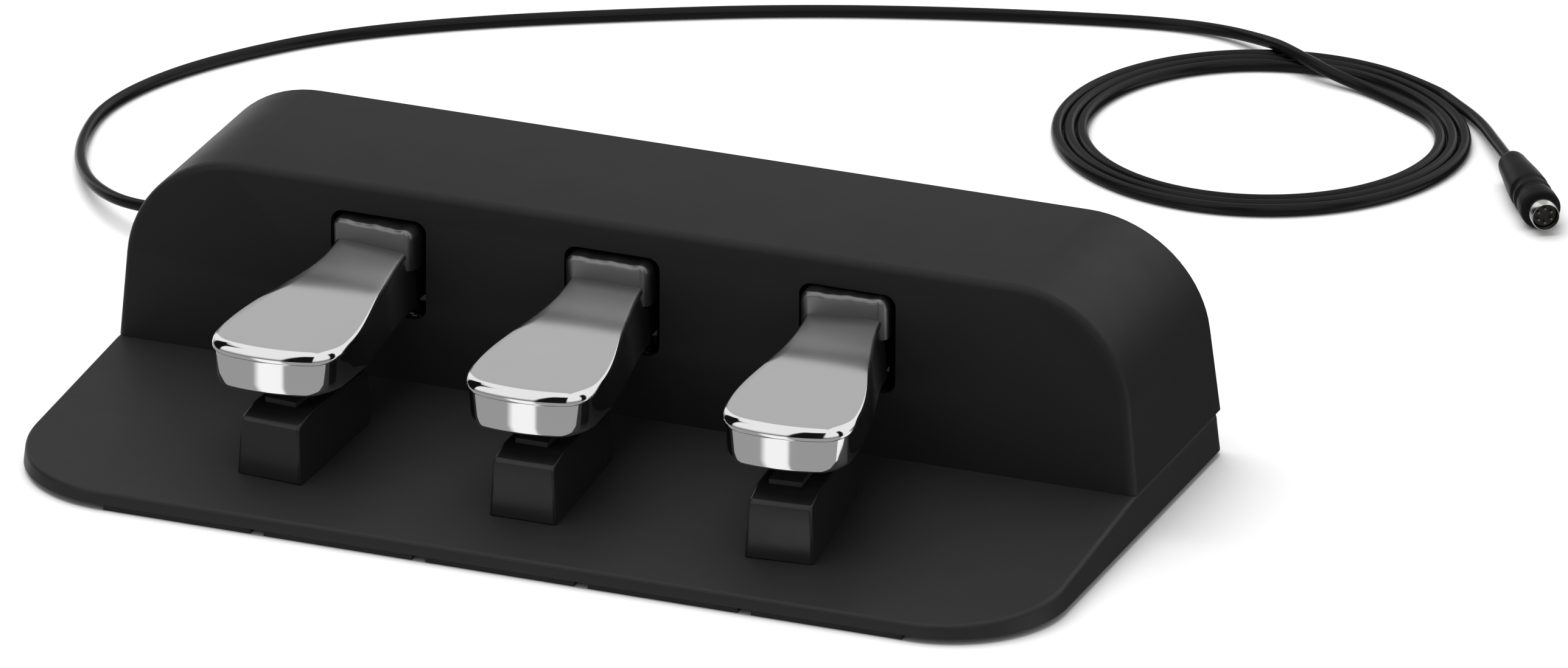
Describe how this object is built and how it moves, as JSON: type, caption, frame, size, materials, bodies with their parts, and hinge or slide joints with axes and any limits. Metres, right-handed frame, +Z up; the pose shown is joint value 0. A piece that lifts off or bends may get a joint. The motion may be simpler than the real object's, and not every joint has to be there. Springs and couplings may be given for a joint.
{
  "type": "triple piano pedal unit",
  "caption": "Floor-standing piano pedal unit: black housing with a sloping apron, chrome pedals over stop blocks, and a lead with a round plug.",
  "frame": {"origin": "on the floor, below the middle of the housing's footprint", "axes": "+X across the unit to the player's right, +Y away from the player towards the hood, +Z up"},
  "size_m": [0.4742, 0.5032, 0.0781],
  "materials": {
    "case_plastic": "fine satin grain, moulded",
    "hood_plastic": "satin black with a soft sheen",
    "zinc_plate": "black powder coat",
    "grip_rubber": "matt",
    "screw_steel": "zinc plated",
    "board_laminate": "green solder mask",
    "brass_post": "turned",
    "connector_plastic": "natural nylon",
    "cord_rubber": "matt moulded",
    "loom_jacket": "smooth",
    "cord_jacket": "smooth vinyl with a soft line of light",
    "plug_plastic": "moulded vinyl",
    "plug_nickel": "nickel plated",
    "plug_insulator": "moulded",
    "pin_brass": "plated",
    "lever_steel": "zinc plated pressing",
    "pin_steel": "ground",
    "spring_steel": "drawn wire",
    "block_plastic": "semi-gloss",
    "pad_rubber": "matt",
    "felt": "pressed wool felt",
    "sensor_plastic": "moulded",
    "pedal_chrome": "polished plate",
    "bush_nylon": "natural nylon",
    "arm_plastic": "acetal"
  },
  "bodies": {
    "chassis": {"base_case": "case_plastic", "hood_cover": "hood_plastic", "bottom_plate": "zinc_plate", "front_grip_strips": "grip_rubber", "rear_grip_strips": "grip_rubber", "plate_screws": "screw_steel", "hood_screws": "screw_steel", "bracket_screws": "screw_steel", "sensor_board": "board_laminate", "board_posts": "brass_post", "board_screws": "screw_steel", "board_connector": "connector_plastic", "cord_gland": "cord_rubber", "inner_loom": "loom_jacket", "cord_lead": "cord_jacket", "cord_coil": "cord_jacket", "cord_tail": "cord_jacket", "plug_body": "plug_plastic", "plug_shell": "plug_nickel", "plug_core": "plug_insulator", "plug_pins": "pin_brass", "pivot_bracket_left": "lever_steel", "pivot_pin_left": "pin_steel", "return_spring_left": "spring_steel", "stop_block_left": "block_plastic", "stop_pad_left": "pad_rubber", "upstop_felt_left": "felt", "pedal_sensor_left": "sensor_plastic", "pivot_bracket_centre": "lever_steel", "pivot_pin_centre": "pin_steel", "return_spring_centre": "spring_steel", "stop_block_centre": "block_plastic", "stop_pad_centre": "pad_rubber", "upstop_felt_centre": "felt", "pedal_sensor_centre": "sensor_plastic", "pivot_bracket_right": "lever_steel", "pivot_pin_right": "pin_steel", "return_spring_right": "spring_steel", "stop_block_right": "block_plastic", "stop_pad_right": "pad_rubber", "upstop_felt_right": "felt", "pedal_sensor_right": "sensor_plastic"},
    "left_pedal": {"pedal_left": "pedal_chrome", "pedal_lever_left": "lever_steel", "pivot_bush_left": "bush_nylon", "lever_screws_left": "screw_steel"},
    "left_sensor_arm": {"sensor_arm_left": "arm_plastic"},
    "centre_pedal": {"pedal_centre": "pedal_chrome", "pedal_lever_centre": "lever_steel", "pivot_bush_centre": "bush_nylon", "lever_screws_centre": "screw_steel"},
    "centre_sensor_arm": {"sensor_arm_centre": "arm_plastic"},
    "right_pedal": {"pedal_right": "pedal_chrome", "pedal_lever_right": "lever_steel", "pivot_bush_right": "bush_nylon", "lever_screws_right": "screw_steel"},
    "right_sensor_arm": {"sensor_arm_right": "arm_plastic"}
  },
  "joints": [
    {"name": "left_pedal_press", "type": "hinge", "parent": "chassis", "child": "left_pedal", "pos_m": [-0.07818, 0.05584, 0.042], "axis": [0.9964, -0.0845, 0], "range_deg": [0, 3.8], "stiffness_Nm_per_rad": 20, "springref_deg": -3.44, "deforming": ["return_spring_left"]},
    {"name": "left_sensor_turn", "type": "hinge", "parent": "chassis", "child": "left_sensor_arm", "pos_m": [-0.06906, 0.07113, 0.027], "axis": [0.9964, -0.0845, 0], "range_deg": [-8, 0]},
    {"name": "centre_pedal_press", "type": "hinge", "parent": "chassis", "child": "centre_pedal", "pos_m": [-0.0033, 0.056, 0.042], "axis": [1, 0, 0], "range_deg": [0, 3.8], "stiffness_Nm_per_rad": 20, "springref_deg": -3.44, "deforming": ["return_spring_centre"]},
    {"name": "centre_sensor_turn", "type": "hinge", "parent": "chassis", "child": "centre_sensor_arm", "pos_m": [0.0045, 0.072, 0.027], "axis": [1, 0, 0], "range_deg": [-8, 0]},
    {"name": "right_pedal_press", "type": "hinge", "parent": "chassis", "child": "right_pedal", "pos_m": [0.07158, 0.05584, 0.042], "axis": [0.9964, 0.0845, 0], "range_deg": [0, 3.8], "stiffness_Nm_per_rad": 20, "springref_deg": -3.44, "deforming": ["return_spring_right"]},
    {"name": "right_sensor_turn", "type": "hinge", "parent": "chassis", "child": "right_sensor_arm", "pos_m": [0.078, 0.07244, 0.027], "axis": [0.9964, 0.0845, 0], "range_deg": [-8, 0]}
  ],
  "couplings": [
    {"joint": "left_sensor_turn", "follows": "left_pedal_press", "ratio": -2},
    {"joint": "centre_sensor_turn", "follows": "centre_pedal_press", "ratio": -2},
    {"joint": "right_sensor_turn", "follows": "right_pedal_press", "ratio": -2}
  ]
}
